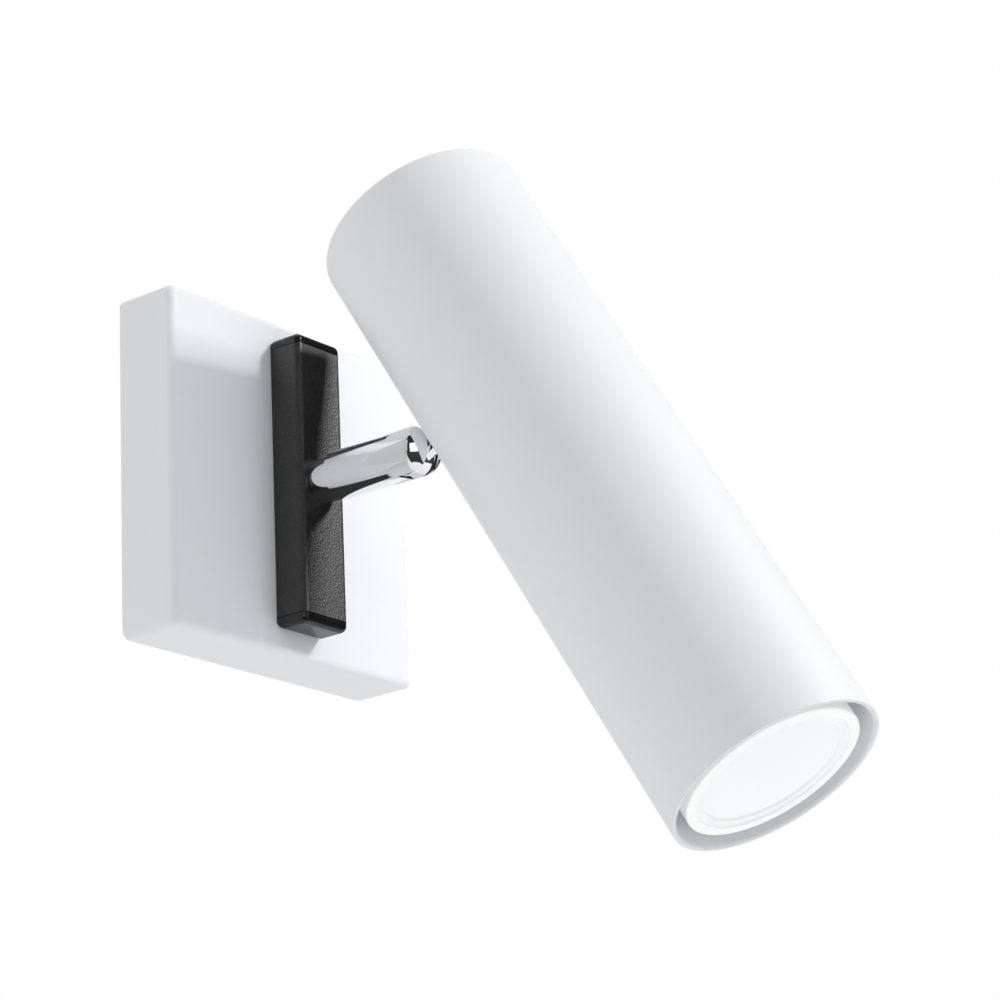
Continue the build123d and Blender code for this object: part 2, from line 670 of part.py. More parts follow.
# long bracket from the saddle to the lampholder
bracket_from = stud_offset - holder_strap_back
bracket_plate = holder_back - holder_sheet
bracket_top = holder_d / 2
with BuildPart() as holder_bracket:
    with BuildSketch(head_side):
        with BuildLine():
            Polyline((bracket_from, saddle_face), (holder_back, saddle_face),
                     (holder_back, -bracket_top), (bracket_plate, -bracket_top),
                     (bracket_plate, strap_face), (bracket_from, strap_face), close=True)
        make_face()
    extrude(amount=holder_strap / 2, both=True)
    corner = holder_bracket.edges().filter_by(
        lambda e: abs((e % 0).dot(side)) > 0.99)
    fillet(corner.filter_by(lambda e: abs((e.center() - foot).dot(beam) - holder_back) < 0.01
                            and (foot - e.center()).dot(outward) > 0), holder_bend + holder_sheet)
    fillet(holder_bracket.edges().filter_by(
        lambda e: abs((e.center() - foot).dot(beam) - bracket_plate) < 0.01
        and abs((foot - e.center()).dot(outward) - strap_face) < 0.01), holder_bend)
    with BuildSketch(tube_plane.offset(bracket_plate)):
        Circle(3.5)
        with GridLocations(1, holder_screw_spacing, 1, 2):
            Circle(m3_shank / 2 + close_fit)
    extrude(amount=holder_sheet, mode=Mode.SUBTRACT)
    with BuildSketch(stud_plane):
        Circle(stud_thread_d / 2 + close_fit)
    extrude(amount=axis_reach, mode=Mode.SUBTRACT)
save(holder_bracket, "holder_bracket")

with BuildPart() as knuckle_nut:
    with BuildSketch(stud_plane.offset(axis_reach - strap_face)):
        RegularPolygon(nut_flats / 2, 6, major_radius=False)
        Circle(stud_thread_d / 2 + close_fit, mode=Mode.SUBTRACT)
    extrude(amount=nut_height)
save(knuckle_nut, "knuckle_nut")

# ---------------------------------------------------------------- lampholder
with BuildPart() as lampholder:
    with BuildSketch(tube_plane.offset(holder_back)):
        Circle(holder_d / 2)
    extrude(amount=holder_height)
    fillet(lampholder.edges().sort_by(Axis(foot, beam))[-1], 1.2)
    # curved keyholes for the two pins
    key_r = pin_head_d / 2 + slack
    with BuildSketch(tube_plane.offset(holder_front)):
        for first in (-key_turn / 2, 180 - key_turn / 2):
            with BuildLine():
                CenterArc((0, 0), pin_spacing / 2 + key_r, first, key_turn)
                CenterArc((0, 0), pin_spacing / 2 - key_r, first, key_turn)
                for angle, begin in ((first, first + 180), (first + key_turn, first + key_turn)):
                    CenterArc(Vector(pin_spacing / 2, 0).rotate(Axis.Z, angle), key_r, begin, 180)
            make_face()
    extrude(amount=-key_depth, mode=Mode.SUBTRACT)
    with BuildSketch(tube_plane.offset(holder_back)):
        with GridLocations(1, holder_screw_spacing, 1, 2):
            Circle(m3_shank / 2 + close_fit)
        with GridLocations(4, 1, 2, 1):
            Circle(head_lead_d / 2 + close_fit)
    extrude(amount=6, mode=Mode.SUBTRACT)
save(lampholder, "lampholder")

with BuildPart() as holder_screws:
    for lift in (-holder_screw_spacing / 2, holder_screw_spacing / 2):
        add(screw(Plane(origin=foot + beam * bracket_plate + outward * lift,
                        x_dir=side, z_dir=-beam),
                  m3_shank, holder_sheet + 5, m3_head_d, m3_head_height))
save(holder_screws, "holder_screws")

# ---------------------------------------------------------------- lamp
lamp_r = lamp_d / 2
lens_r = lamp_r - lamp_rim_width
rim_back = lamp_front - lamp_rim_height
with BuildPart() as lamp_body:
    with BuildSketch(head_side):
        with BuildLine():
            l1 = Line((lamp_base, 0), (lamp_base, lamp_base_d / 2))
            l2 = Line(l1 @ 1, (lamp_base + lamp_base_height, lamp_base_d / 2))
            l3 = Line(l2 @ 1, (lamp_base + lamp_base_height, lamp_base_d / 2 + 2.5))
            l4 = Spline(l3 @ 1, (lamp_base + lamp_base_height + waist_up,
                                 lamp_base_d / 2 + waist_out),
                        (rim_back, lamp_r - 0.8), tangents=((1, 0.2), (1, 0.75)))
            l5 = Line(l4 @ 1, (rim_back, 0))
            Line(l5 @ 1, l1 @ 0)
        make_face()
    revolve(axis=Axis(foot, beam))
save(lamp_body, "lamp_body")

with BuildPart() as lamp_pins:
    with BuildSketch(tube_plane.offset(lamp_base)):
        with PolarLocations(pin_spacing / 2, 2):
            Circle(pin_d / 2)
    extrude(amount=-pin_length)
    with BuildSketch(tube_plane.offset(lamp_base - pin_length)):
        with PolarLocations(pin_spacing / 2, 2):
            Circle(pin_head_d / 2)
    extrude(amount=pin_head_height)
save(lamp_pins, "lamp_pins")

with BuildPart() as lamp_rim:
    with BuildSketch(tube_plane.offset(rim_back)):
        Circle(lamp_r)
        Circle(lens_r, mode=Mode.SUBTRACT)
    extrude(amount=lamp_rim_height)
    front_rings = lamp_rim.edges().filter_by(GeomType.CIRCLE).sort_by(Axis(foot, beam))[-2:]
    fillet(front_rings.sort_by(SortBy.LENGTH)[-1], lamp_rim_edge)
    fillet(lamp_rim.edges().filter_by(GeomType.CIRCLE).sort_by(Axis(foot, beam))[-2:].sort_by(
        SortBy.LENGTH)[0], lens_step / 2)
save(lamp_rim, "lamp_rim")

# domed front with a moulded step near its edge
lens_edge = lamp_front - lens_step
dome_r = lens_r - lens_border
dome_foot = lens_edge - lens_border / 4
ball_r = (dome_r ** 2 + lens_rise ** 2) / (2 * lens_rise)
half_rise = sqrt(ball_r ** 2 - dome_r ** 2 / 4) - (ball_r - lens_rise)
with BuildPart() as lamp_lens:
    with BuildSketch(head_side):
        with BuildLine():
            m1 = Line((rim_back, 0), (rim_back, lens_r - close_fit))
            m2 = Line(m1 @ 1, (lens_edge, lens_r - close_fit))
            m3 = Line(m2 @ 1, (lens_edge, lens_r - 0.8 * lens_border))
            m4 = Line(m3 @ 1, (dome_foot, dome_r))
            m5 = ThreePointArc(m4 @ 1, (dome_foot + half_rise, dome_r / 2),
                               (dome_foot + lens_rise, 0))
            Line(m5 @ 1, m1 @ 0)
        make_face()
    revolve(axis=Axis(foot, beam))
save(lamp_lens, "lamp_lens")

# ---------------------------------------------------------------- inner leads
for pole, way, lead_name in ((0, -1, "lead_live"), (1, 1, "lead_neutral")):
    port = pole * block_pitch
    bore_x = way * lead_d * 0.6
    with BuildPart() as lead:
        with BuildLine() as lead_path:
            FilletPolyline((port, block_middle, block_top - 2), (port, block_middle, block_top + 8),
                           (bore_x, block_middle + 3, -lead_d * 3),
                           (bore_x, stem_end + 2.4, 0), (bore_x, bar_middle, 0), radius=2.4)
        with BuildSketch(Plane(origin=lead_path.wires()[0] @ 0, z_dir=lead_path.wires()[0] % 0)):
            Circle(lead_d / 2)
        sweep()
    save(lead, lead_name)

lug_y = -strap_sheet - lead_d / 2 - 1
with BuildPart() as lead_earth:
    with BuildLine() as earth_path:
        FilletPolyline((-lug_r - 2, lug_y, earth_z), (-strap_width / 2 - 6, lug_y, earth_z),
                       (-strap_width / 2 - 6, block_middle, block_top + 18),
                       (-block_pitch, block_middle, block_top + 7),
                       (-block_pitch, block_middle, block_top - 2), radius=2.4)
    with BuildSketch(Plane(origin=earth_path.wires()[0] @ 0, z_dir=earth_path.wires()[0] % 0)):
        Circle(lead_d / 2)
    sweep()
save(lead_earth, "lead_earth")

with BuildPart() as head_leads:
    for pole in (-1, 1):
        in_bore = side * (pole * 0.47)
        at_holder = side * (pole * 2)
        start = foot + beam * (holder_back + 4) + at_holder
        tail = foot + beam * stud_offset - outward * (axis_reach - stud_end)
        with BuildLine() as head_path:
            FilletPolyline(start, start - beam * 50,
                           tail + in_bore + outward * 9 + beam * 6,
                           tail + in_bore + outward * 3,
                           tail + in_bore - outward * 4, radius=3)
        with BuildSketch(Plane(origin=head_path.wires()[0] @ 0, z_dir=head_path.wires()[0] % 0)):
            Circle(head_lead_d / 2)
        sweep(path=head_path.wires()[0])
save(head_leads, "head_leads")
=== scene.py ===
"""Pivoting spotlight wall light: finishes for its pieces, a plain studio and a camera."""
import json
from math import cos, radians, sin

import bpy
from bpy.props import FloatProperty, FloatVectorProperty, PointerProperty
from bpy.types import Operator, Panel, PropertyGroup
from mathutils import Matrix, Vector


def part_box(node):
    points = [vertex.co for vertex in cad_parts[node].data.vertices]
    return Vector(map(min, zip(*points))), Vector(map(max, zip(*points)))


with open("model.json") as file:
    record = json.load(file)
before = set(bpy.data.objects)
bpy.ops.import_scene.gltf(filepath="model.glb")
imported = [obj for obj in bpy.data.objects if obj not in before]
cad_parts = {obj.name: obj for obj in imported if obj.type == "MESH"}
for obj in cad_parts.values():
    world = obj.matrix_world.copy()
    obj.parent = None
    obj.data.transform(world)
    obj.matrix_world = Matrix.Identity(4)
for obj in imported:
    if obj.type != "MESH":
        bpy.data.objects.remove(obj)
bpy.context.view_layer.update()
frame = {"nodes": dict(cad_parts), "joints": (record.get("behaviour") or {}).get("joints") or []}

bl_info = {
    "name": "Pivoting Spotlight Wall Light",
    "version": (1, 0, 0),
    "blender": (4, 5, 0),
    "location": "View3D > Sidebar > Wall Spot",
    "description": "Finishes and studio for a tube spotlight on a swivel arm",
    "category": "Object",
}

NODES = frame["nodes"]
JOINTS = {joint["name"]: joint for joint in frame["joints"]}
MM = 0.001
WHITE = (1.0, 1.0, 1.0, 1.0)
MIX_FIRST, MIX_SECOND, MIX_RESULT = 6, 7, 2     # a Mix node's sockets when it mixes colours

# finishes: shares of a colour, spreads of roughness, and relief in metres
PAINT_DARK, PAINT_LIGHT = 0.985, 1.01       # slow patches in the white paint
PAINT_SHEEN = 0.04
COAT_SHEEN, COAT_RELIEF = 0.12, 0.00011     # the bar's powder coat
FLECK_SHARE, FLECK_FADE = 0.6, 1.6
MARK_CONTRAST = 3.0                         # handling marks
GLOSS_MARKS, CHROME_MARKS = 0.08, 0.05      # roughness that they add
MOULD_DARK, MOULD_LIGHT = 0.94, 1.04        # moulded plastic
MOULD_SHEEN = 0.08
CLOUDS = 90.0                               # clouds in plated sheet, per metre
CLOUD_DARK, CLOUD_LIGHT = 0.82, 1.1
ROLLED_SMOOTH, ROLLED_ROUGH = 0.08, 0.12    # below and above the sheet's roughness
ROLLED_RELIEF = 0.000006
SPECKLE_SHARE, SPECKLE_DARK = 0.25, 0.7     # pressed steatite
SHEATH_DARK, SHEATH_LIGHT = 0.9, 1.06       # insulation of the leads
FINE_RELIEF = 0.00001                       # barely felt
FIRM_RELIEF = 0.00002

# the lamp's lens, millimetres from its axis: its painted glow falls off between these, painting
# shade towards its edge
LENS_CLEAR, LENS_EDGE = 16.0, 22.0
EDGE_GLOW = 0.86        # share of the glow that is left at the lens's edge

# the studio, metres; bearings in degrees round the object, 0 towards -Y, positive towards +X
AIM = (0.0, -0.08, 0.0)                     # what the lights look at
KEY_SIZE = (0.3, 0.3)
KEY_PLACE = (0.865, -1.81, 1.074)
SHEEN_PLACE = (0.857, -1.793, 1.064)        # just in front of the key
SIDE_SIZE, SIDE_PLACE = (1.0, 1.4), (-1.6, 0.6, 0.4)
LOW_SIZE, LOW_PLACE = (1.2, 1.2), (0.3, -0.6, -1.6)
SHADE_SIZE, SHADE_PLACE = (1.8, 1.8), (-1.05, -0.95, -0.45)
PANEL_SIZE, PANEL_PLACE = (1.0, 0.92), (-1.13, -0.67, 0.01)
WALL_SIZE, WALL_PLACE = (3.0, 3.0), (0.0, 0.3, 0.0)
ROOM_FROM, ROOM_TO, GROUND_TO = -104, 100, 60
ROOM_RADIUS, ROOM_HEIGHT = 2.7, 4.3
GROUND_RADIUS, GROUND_HEIGHT = 0.27, -0.53  # inner edge of the dark ground, just over the floor
DARK_SHEET = (0.02, 0.02, 0.02)
PALE_SHEET = (0.6, 0.6, 0.6)


def colour_property(name, description, default):
    """A colour that a user can change."""
    return FloatVectorProperty(name=name, description=description, subtype="COLOR", size=3,
                               min=0.0, max=1.0, default=default)


def share_property(name, description, default):
    """A plain share from 0 to 1."""
    return FloatProperty(name=name, description=description, min=0.0, max=1.0, default=default,
                         subtype="FACTOR")


def length_property(name, description, default):
    """A length in metres."""
    return FloatProperty(name=name, description=description, min=0.0, max=10.0, default=default,
                         unit="LENGTH", precision=5)


# ---------------------------------------------------------------- settings
class PaintSettings(PropertyGroup):
    """White paint of the wall plate and of the tube."""
    plate_colour: colour_property("Plate", "Lacquer of the wall plate", (0.888, 0.898, 0.917))
    plate_roughness: share_property("Plate roughness", "Satin sheen of the plate", 0.5)
    plate_gloss: share_property("Plate gloss", "Strength of the plate's reflections", 0.1)
    tube_colour: colour_property("Tube", "Powder coat of the tube", (0.878, 0.887, 0.905))
    tube_roughness: share_property("Tube roughness", "Sheen of the powder coat", 0.5)
    tube_grain: length_property("Tube grain", "Width of one dimple in the coat", 0.0009)


class BarSettings(PropertyGroup):
    """Black powder coat of the bar and gloss of its caps."""
    coat_colour: colour_property("Coat", "Black powder coat", (0.004, 0.004, 0.0042))
    fleck_colour: colour_property("Flecks", "Light flecks in the coat", (0.04, 0.04, 0.041))
    coat_roughness: share_property("Coat roughness", "Sheen of the coat", 0.4)
    coat_ior: FloatProperty(name="Coat IOR", description="Strength of the coat's reflections",
                            min=1.0, max=3.0, default=1.43)
    grain: length_property("Grain", "Width of one grain of the coat", 0.0005)
    cap_colour: colour_property("Caps", "Moulded end caps", (0.01, 0.01, 0.011))


class MetalSettings(PropertyGroup):
    """Chrome, zinc-plated steel, aluminium and brass."""
    chrome_colour: colour_property("Chrome", "Polished plating", (0.91, 0.915, 0.93))
    chrome_roughness: share_property("Chrome roughness", "Blur of its reflections", 0.05)
    zinc_colour: colour_property("Zinc", "Zinc-plated steel", (0.56, 0.57, 0.58))
    brass_colour: colour_property("Brass", "Brass earth fittings", (0.62, 0.44, 0.18))
    aluminium_colour: colour_property("Aluminium", "Turned sleeve", (0.68, 0.69, 0.7))


class LampSettings(PropertyGroup):
    """Lamp, its holder and the plastic parts."""
    rim_colour: colour_property("Lamp ring", "White ring of the lamp", (0.93, 0.935, 0.94))
    lens_colour: colour_property("Lens", "Frosted front", (0.92, 0.927, 0.938))
    # painted glow: whitens the lamp's ring and lens beyond the light that reaches them
    painted_lamp_glow: FloatProperty(name="Lens glow", description="Light that the frosted lens gives",
                             min=0.0, max=2.0, default=0.17)
    ceramic_colour: colour_property("Holder", "Steatite lampholder", (0.76, 0.74, 0.68))
    plastic_colour: colour_property("White plastic", "Terminals and rear cap",
                                    (0.8, 0.8, 0.785))
    dark_plastic_colour: colour_property("Dark plastic", "Saddle and friction discs",
                                         (0.06, 0.06, 0.063))


class StudioSettings(PropertyGroup):
    """Camera, lights, background and floor."""
    camera_place: FloatVectorProperty(name="Camera", description="Place of the camera", size=3,
                                      subtype="TRANSLATION", unit="LENGTH",
                                      default=(-0.66710, -0.61758, -0.30402))
    azimuth: FloatProperty(name="Azimuth", description="Camera's bearing, degrees",
                           default=-51.897)
    elevation: FloatProperty(name="Elevation", description="Camera's height angle, degrees",
                             default=-18.443)
    roll: FloatProperty(name="Roll", description="Camera's roll, degrees", default=-2.696)
    lens: FloatProperty(name="Lens", description="Focal length, millimetres", min=1.0,
                        default=118.5)
    fill: FloatProperty(name="Fill", description="Plain light from all round", min=0.0,
                        default=0.75)
    key_power: FloatProperty(name="Key", description="Power of the key light", min=0.0,
                             unit="POWER", default=22.0)
    sheen_power: FloatProperty(name="Sheen", description="More of the key, in highlights only",
                               min=0.0, unit="POWER", default=32.0)
    side_power: FloatProperty(name="Side", description="Power of the light on the left",
                              min=0.0, unit="POWER", default=2.5)
    low_power: FloatProperty(name="Low", description="Power of the light from below",
                             min=0.0, unit="POWER", default=2.0)
    front_glow: FloatProperty(name="Front", description="Glow of the panel that chrome shows",
                              min=0.0, default=1.05)
    floor_drop: length_property("Floor drop", "Floor below the wall plate's middle", 0.55)
    floor_size: length_property("Floor size", "Side of the floor", 6.0)
    floor_colour: colour_property("Floor", "Pale floor", (0.9, 0.9, 0.9))


SETTINGS = (
    ("spot_paint", PaintSettings),
    ("spot_bar", BarSettings),
    ("spot_metal", MetalSettings),
    ("spot_lamp", LampSettings),
    ("spot_studio", StudioSettings),
)


# ---------------------------------------------------------------- shader groups
def new_group(name, inputs, outputs):
    """An empty shader group with float inputs {name: default} and outputs {name: kind}."""
    group = bpy.data.node_groups.new(name, "ShaderNodeTree")
    for label, default in inputs.items():
        socket = group.interface.new_socket(label, in_out="INPUT", socket_type="NodeSocketFloat")
        socket.default_value = default
    for label, kind in outputs.items():
        group.interface.new_socket(label, in_out="OUTPUT", socket_type=kind)
    return group, group.nodes.new("NodeGroupInput"), group.nodes.new("NodeGroupOutput")


def feed(tree, socket, value):
    """Links another socket's value, or sets a plain one."""
    if isinstance(value, bpy.types.NodeSocket):
        tree.links.new(value, socket)
    else:
        socket.default_value = value


def maths(tree, operation, first, second):
    """A Math node of two sockets or numbers."""
    node = tree.nodes.new("ShaderNodeMath")
    node.operation = operation
    feed(tree, node.inputs[0], first)
    feed(tree, node.inputs[1], second)
    return node.outputs[0]


def vector_maths(tree, operation, first, second=None):
    """A Vector Math node of sockets or vectors."""
    node = tree.nodes.new("ShaderNodeVectorMath")
    node.operation = operation
    feed(tree, node.inputs[0], first)
    if second is not None:
        feed(tree, node.inputs[1], second)
    return node.outputs["Value" if operation == "LENGTH" else "Vector"]


def mixed(tree, mask, first, second):
    """A colour between two colours or sockets, by a mask."""
    node = tree.nodes.new("ShaderNodeMix")
    node.data_type = "RGBA"
    tree.links.new(mask, node.inputs["Factor"])
    feed(tree, node.inputs[MIX_FIRST], first)
    feed(tree, node.inputs[MIX_SECOND], second)
    return node.outputs[MIX_RESULT]


def noise(tree, vector, scale, detail=2.0, roughness=0.5):
    """A Noise texture's value on the piece itself."""
    node = tree.nodes.new("ShaderNodeTexNoise")
    node.inputs["Detail"].default_value = detail
    node.inputs["Roughness"].default_value = roughness
    tree.links.new(vector, node.inputs["Vector"])
    feed(tree, node.inputs["Scale"], scale)
    return node.outputs["Fac"]


def coat_grain_group():
    """Dimples of a sprayed or powdered coat, with slow patches of its sheen."""
    group, given, out = new_group(
        "coat_grain", {"Size": 0.001, "Patches": 0.03},
        {"Height": "NodeSocketFloat", "Patch": "NodeSocketFloat"})
    place = group.nodes.new("ShaderNodeTexCoord").outputs["Object"]
    scale = maths(group, "DIVIDE", 1.0, given.outputs["Size"])
    fine = noise(group, place, scale, roughness=0.55)
    slow = noise(group, place, maths(group, "DIVIDE", 1.0, given.outputs["Patches"]), detail=3.0)
    group.links.new(fine, out.inputs["Height"])
    group.links.new(slow, out.inputs["Patch"])
    return group


def fleck_group():
    """Small light flecks scattered over a dark coat."""
    group, given, out = new_group(
        "coat_flecks", {"Size": 0.0004, "Share": 0.3}, {"Mask": "NodeSocketFloat"})
    place = group.nodes.new("ShaderNodeTexCoord").outputs["Object"]
    cells = group.nodes.new("ShaderNodeTexVoronoi")
    group.links.new(place, cells.inputs["Vector"])
    group.links.new(maths(group, "DIVIDE", 1.0, given.outputs["Size"]), cells.inputs["Scale"])
    pick = group.nodes.new("ShaderNodeSeparateColor")
    group.links.new(cells.outputs["Color"], pick.inputs["Color"])
    chosen = maths(group, "GREATER_THAN", maths(group, "ADD", pick.outputs[0],
                                                given.outputs["Share"]), 1.0)
    edge = maths(group, "SUBTRACT", 1.0,
                 maths(group, "MULTIPLY", cells.outputs["Distance"], FLECK_FADE))
    strength = maths(group, "MULTIPLY", chosen,
                     maths(group, "MULTIPLY", edge, pick.outputs[1]))
    group.links.new(maths(group, "MAXIMUM", strength, 0.0), out.inputs["Mask"])
    return group


def brushed_group():
    """Fine rolling lines of sheet metal along one direction, and its patches."""
    group, given, out = new_group(
        "rolled_lines", {"Width": 0.0002, "Length": 0.02},
        {"Lines": "NodeSocketFloat", "Patch": "NodeSocketFloat"})
    place = group.nodes.new("ShaderNodeTexCoord").outputs["Object"]
    squash = group.nodes.new("ShaderNodeCombineXYZ")
    across = maths(group, "DIVIDE", 1.0, given.outputs["Width"])
    along = maths(group, "DIVIDE", 1.0, given.outputs["Length"])
    for axis, source in enumerate((across, across, along)):
        group.links.new(source, squash.inputs[axis])
    squashed = vector_maths(group, "MULTIPLY", place, squash.outputs[0])
    group.links.new(noise(group, squashed, 1.0, detail=3.0), out.inputs["Lines"])
    group.links.new(noise(group, place, CLOUDS, detail=3.0), out.inputs["Patch"])
    return group


def dust_group():
    """Thin dust and handling marks: a soft mask for roughness and tone."""
    group, given, out = new_group("handling", {"Size": 0.02}, {"Mask": "NodeSocketFloat"})
    place = group.nodes.new("ShaderNodeTexCoord").outputs["Object"]
    scale = maths(group, "DIVIDE", 1.0, given.outputs["Size"])
    value = noise(group, place, scale, detail=6.0, roughness=0.62)
    spread = maths(group, "MULTIPLY", maths(group, "SUBTRACT", value, 0.5), MARK_CONTRAST)
    group.links.new(spread, out.inputs["Mask"])
    return group


def axis_distance_group(name, point, direction):
    """Distance from an axis, for rings turned about it."""
    group, given, out = new_group(name, {"Unit": 1.0}, {"Radius": "NodeSocketFloat"})
    place = group.nodes.new("ShaderNodeTexCoord").outputs["Object"]
    away = vector_maths(group, "SUBTRACT", place, point)
    off = vector_maths(group, "CROSS_PRODUCT", away, direction)
    radius = vector_maths(group, "LENGTH", off)
    group.links.new(maths(group, "DIVIDE", radius, given.outputs["Unit"]), out.inputs["Radius"])
    return group


def shared_group(name, maker, *details):
    """The group of that name, made once."""
    return bpy.data.node_groups.get(name) or maker(*details)


def place_group(tree, group, **values):
    """A group in a material, with its own values."""
    node = tree.nodes.new("ShaderNodeGroup")
    node.node_tree = group
    for label, value in values.items():
        node.inputs[label].default_value = value
    return node


def grain_in(tree, size, patches):
    """Grain and slow patches of a coat, in a material."""
    return place_group(tree, shared_group("coat_grain", coat_grain_group),
                       Size=size, Patches=patches)


def flecks_in(tree, size, share):
    """Mask of a material's flecks."""
    group = shared_group("coat_flecks", fleck_group)
    return place_group(tree, group, Size=size, Share=share).outputs["Mask"]


def marks_in(tree, size):
    """Mask of a material's handling marks."""
    return place_group(tree, shared_group("handling", dust_group), Size=size).outputs["Mask"]


# ---------------------------------------------------------------- materials
def blank_material(name, colour, roughness, metallic=0.0):
    """A material with one Principled surface."""
    material = bpy.data.materials.new(name)
    material.use_nodes = True
    tree = material.node_tree
    surface = surface_of(material)
    surface.inputs["Base Color"].default_value = (*colour, 1.0)
    surface.inputs["Roughness"].default_value = roughness
    surface.inputs["Metallic"].default_value = metallic
    return material, tree, surface


def surface_of(material):
    """The Principled surface of a finished material."""
    return material.node_tree.nodes["Principled BSDF"]


def vary(tree, surface, socket, mask, low, high):
    """Drives a value of the surface between low and high by a mask around 0 to 1."""
    ranged = tree.nodes.new("ShaderNodeMapRange")
    tree.links.new(mask, ranged.inputs["Value"])
    ranged.inputs["To Min"].default_value = low
    ranged.inputs["To Max"].default_value = high
    tree.links.new(ranged.outputs["Result"], surface.inputs[socket])


def tone(tree, surface, mask, dark, light):
    """Drives the base colour between two colours by a mask."""
    colour = mixed(tree, mask, (*dark, 1.0), (*light, 1.0))
    tree.links.new(colour, surface.inputs["Base Color"])
    return colour


def bump(tree, surface, height, depth):
    """Relief from a height, its depth in metres."""
    node = tree.nodes.new("ShaderNodeBump")
    node.inputs["Distance"].default_value = depth
    node.inputs["Strength"].default_value = 1.0
    tree.links.new(height, node.inputs["Height"])
    tree.links.new(node.outputs["Normal"], surface.inputs["Normal"])


def glow(surface, strength):
    """A plain white glow."""
    surface.inputs["Emission Color"].default_value = WHITE
    surface.inputs["Emission Strength"].default_value = strength


def scaled(colour, factor):
    """The same colour, lighter or darker."""
    return tuple(min(1.0, channel * factor) for channel in colour)


def painted(name, colour, roughness, grain, depth):
    """White paint with fine dimples and slow patches of tone and sheen."""
    material, tree, surface = blank_material(name, colour, roughness)
    coat = grain_in(tree, grain, 0.03)
    tone(tree, surface, coat.outputs["Patch"], scaled(colour, PAINT_DARK),
         scaled(colour, PAINT_LIGHT))
    vary(tree, surface, "Roughness", coat.outputs["Patch"], roughness - PAINT_SHEEN,
         roughness + PAINT_SHEEN)
    bump(tree, surface, coat.outputs["Height"], depth)
    return material


def powder_black(name, settings):
    """Black powder coat: rough grain with light flecks."""
    material, tree, surface = blank_material(name, settings.coat_colour, settings.coat_roughness)
    coat = grain_in(tree, settings.grain, 0.02)
    tone(tree, surface, flecks_in(tree, settings.grain, FLECK_SHARE), settings.coat_colour,
         settings.fleck_colour)
    vary(tree, surface, "Roughness", coat.outputs["Height"],
         settings.coat_roughness - COAT_SHEEN, settings.coat_roughness + COAT_SHEEN)
    surface.inputs["IOR"].default_value = settings.coat_ior
    surface.inputs["Specular IOR Level"].default_value = 1.0
    bump(tree, surface, coat.outputs["Height"], COAT_RELIEF)
    return material


def gloss_plastic(name, colour, roughness=0.12):
    """Moulded gloss plastic with faint flow and handling marks."""
    material, tree, surface = blank_material(name, colour, roughness)
    vary(tree, surface, "Roughness", marks_in(tree, 0.008), roughness, roughness + GLOSS_MARKS)
    bump(tree, surface, grain_in(tree, 0.003, 0.02).outputs["Height"], FINE_RELIEF)
    return material


def matte_plastic(name, colour, roughness=0.55):
    """Moulded plastic with a spark-eroded surface."""
    material, tree, surface = blank_material(name, colour, roughness)
    coat = grain_in(tree, 0.0004, 0.015)
    tone(tree, surface, coat.outputs["Patch"], scaled(colour, MOULD_DARK),
         scaled(colour, MOULD_LIGHT))
    vary(tree, surface, "Roughness", coat.outputs["Height"], roughness - MOULD_SHEEN,
         roughness + MOULD_SHEEN)
    bump(tree, surface, coat.outputs["Height"], FINE_RELIEF)
    return material


def polished_chrome(name, settings):
    """Chrome plating: a clear mirror with the faintest handling marks."""
    material, tree, surface = blank_material(name, settings.chrome_colour,
                                             settings.chrome_roughness, 1.0)
    vary(tree, surface, "Roughness", marks_in(tree, 0.006),
         settings.chrome_roughness, settings.chrome_roughness + CHROME_MARKS)
    return material


def sheet_metal(name, colour, roughness=0.32):
    """Plated sheet or bar with rolling lines and cloudy plating."""
    material, tree, surface = blank_material(name, colour, roughness, 1.0)
    lines = place_group(tree, shared_group("rolled_lines", brushed_group),
                        Width=0.00025, Length=0.012)
    tone(tree, surface, lines.outputs["Patch"], scaled(colour, CLOUD_DARK),
         scaled(colour, CLOUD_LIGHT))
    vary(tree, surface, "Roughness", lines.outputs["Lines"], roughness - ROLLED_SMOOTH,
         roughness + ROLLED_ROUGH)
    bump(tree, surface, lines.outputs["Lines"], ROLLED_RELIEF)
    return material


def glazed_ceramic(name, colour):
    """Pressed steatite, slightly speckled."""
    material, tree, surface = blank_material(name, colour, 0.34)
    tone(tree, surface, flecks_in(tree, 0.0006, SPECKLE_SHARE), colour,
         scaled(colour, SPECKLE_DARK))
    bump(tree, surface, grain_in(tree, 0.0012, 0.01).outputs["Height"], FIRM_RELIEF)
    return material


def lead_sheath(name, colour, stripe=None):
    """Insulation of a lead; an earth lead has a second colour on half of its round."""
    material, tree, surface = blank_material(name, colour, 0.42)
    coat = grain_in(tree, 0.0015, 0.02)
    plain = tone(tree, surface, coat.outputs["Patch"], scaled(colour, SHEATH_DARK),
                 scaled(colour, SHEATH_LIGHT))
    if stripe:
        facing = tree.nodes.new("ShaderNodeTexCoord").outputs["Normal"]
        split = tree.nodes.new("ShaderNodeSeparateXYZ")
        tree.links.new(facing, split.inputs[0])
        side = maths(tree, "GREATER_THAN", maths(tree, "ADD", split.outputs["X"],
                                                 split.outputs["Z"]), 0.0)
        striped = mixed(tree, side, plain, (*stripe, 1.0))
        tree.links.new(striped, surface.inputs["Base Color"])
    bump(tree, surface, coat.outputs["Height"], FINE_RELIEF)
    return material


